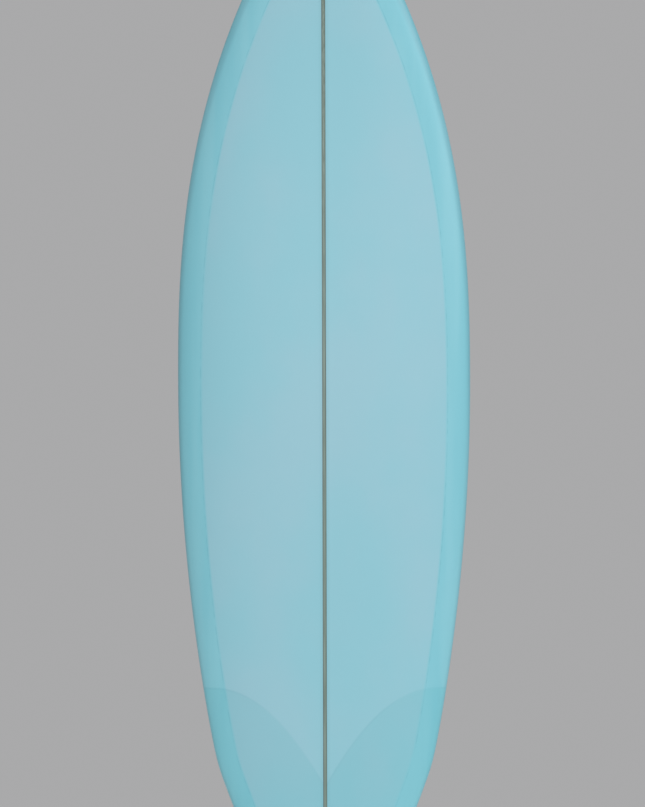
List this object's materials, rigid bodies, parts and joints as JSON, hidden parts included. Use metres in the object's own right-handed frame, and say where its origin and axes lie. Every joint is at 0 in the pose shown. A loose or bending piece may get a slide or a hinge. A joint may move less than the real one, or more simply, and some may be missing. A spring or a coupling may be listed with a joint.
{
  "type": "shortboard surfboard",
  "caption": "Shortboard surfboard with soft hips and a squash tail: a foam core on a wooden stringer under tinted glass, with removable fins in tabbed boxes and a leash plug.",
  "frame": {"origin": "on the bottom's centreline at mid-length, where the rocker is measured from", "axes": "+Z along the board to the nose, +Y out of the bottom, -Y out of the deck, +X to the right of someone who looks at the deck"},
  "size_m": [0.52, 0.2203, 1.865],
  "materials": {
    "foam": "matte",
    "wood": "matte",
    "glue": "matte",
    "patch_glass": "gloss",
    "deck_glass": "gloss",
    "bottom_glass": "gloss",
    "moulded_plastic": "satin",
    "fin_composite": "satin",
    "steel": "satin"
  },
  "bodies": {
    "board": {"foam_left": "foam", "foam_right": "foam", "stringer": "wood", "glue_line_left": "glue", "glue_line_right": "glue", "tail_patch": "patch_glass", "deck_skin": "deck_glass", "bottom_skin": "bottom_glass", "leash_cup": "moulded_plastic", "leash_bar": "steel", "fin_box_left": "moulded_plastic", "fin_box_right": "moulded_plastic", "fin_box_centre": "moulded_plastic"},
    "left_fin": {"fin_left": "fin_composite"},
    "right_fin": {"fin_right": "fin_composite"},
    "centre_fin": {"fin_centre": "fin_composite"},
    "left_front_screw": {"screw_left_front": "steel"},
    "left_rear_screw": {"screw_left_rear": "steel"},
    "right_front_screw": {"screw_right_front": "steel"},
    "right_rear_screw": {"screw_right_rear": "steel"},
    "centre_front_screw": {"screw_centre_front": "steel"},
    "centre_rear_screw": {"screw_centre_rear": "steel"}
  },
  "joints": [
    {"name": "left_fin_pull", "type": "slide", "parent": "board", "child": "left_fin", "axis": [-0.0676, 0.994, -0.0863], "range_m": [0, 0.03]},
    {"name": "right_fin_pull", "type": "slide", "parent": "board", "child": "right_fin", "axis": [0.0676, 0.994, -0.0863], "range_m": [0, 0.03]},
    {"name": "centre_fin_pull", "type": "slide", "parent": "board", "child": "centre_fin", "axis": [0, 0.9945, -0.1051], "range_m": [0, 0.03]},
    {"name": "left_front_screw_turn", "type": "hinge", "parent": "board", "child": "left_front_screw", "pos_m": [-0.16141, -0.0172, -0.5677], "axis": [0.5887, 0.8017, -0.1034], "range_deg": [0, 1080]},
    {"name": "left_rear_screw_turn", "type": "hinge", "parent": "board", "child": "left_rear_screw", "pos_m": [-0.16433, -0.02224, -0.6234], "axis": [0.5887, 0.8017, -0.1034], "range_deg": [0, 1080]},
    {"name": "right_front_screw_turn", "type": "hinge", "parent": "board", "child": "right_front_screw", "pos_m": [0.16141, -0.0172, -0.5677], "axis": [-0.5887, 0.8017, -0.1034], "range_deg": [0, 1080]},
    {"name": "right_rear_screw_turn", "type": "hinge", "parent": "board", "child": "right_rear_screw", "pos_m": [0.16433, -0.02224, -0.6234], "axis": [-0.5887, 0.8017, -0.1034], "range_deg": [0, 1080]},
    {"name": "centre_front_screw_turn", "type": "hinge", "parent": "board", "child": "centre_front_screw", "pos_m": [0.00948, -0.03482, -0.75816], "axis": [0.6428, 0.7618, -0.0805], "range_deg": [0, 1080]},
    {"name": "centre_rear_screw_turn", "type": "hinge", "parent": "board", "child": "centre_rear_screw", "pos_m": [0.00948, -0.04071, -0.81385], "axis": [0.6428, 0.7618, -0.0805], "range_deg": [0, 1080]}
  ]
}
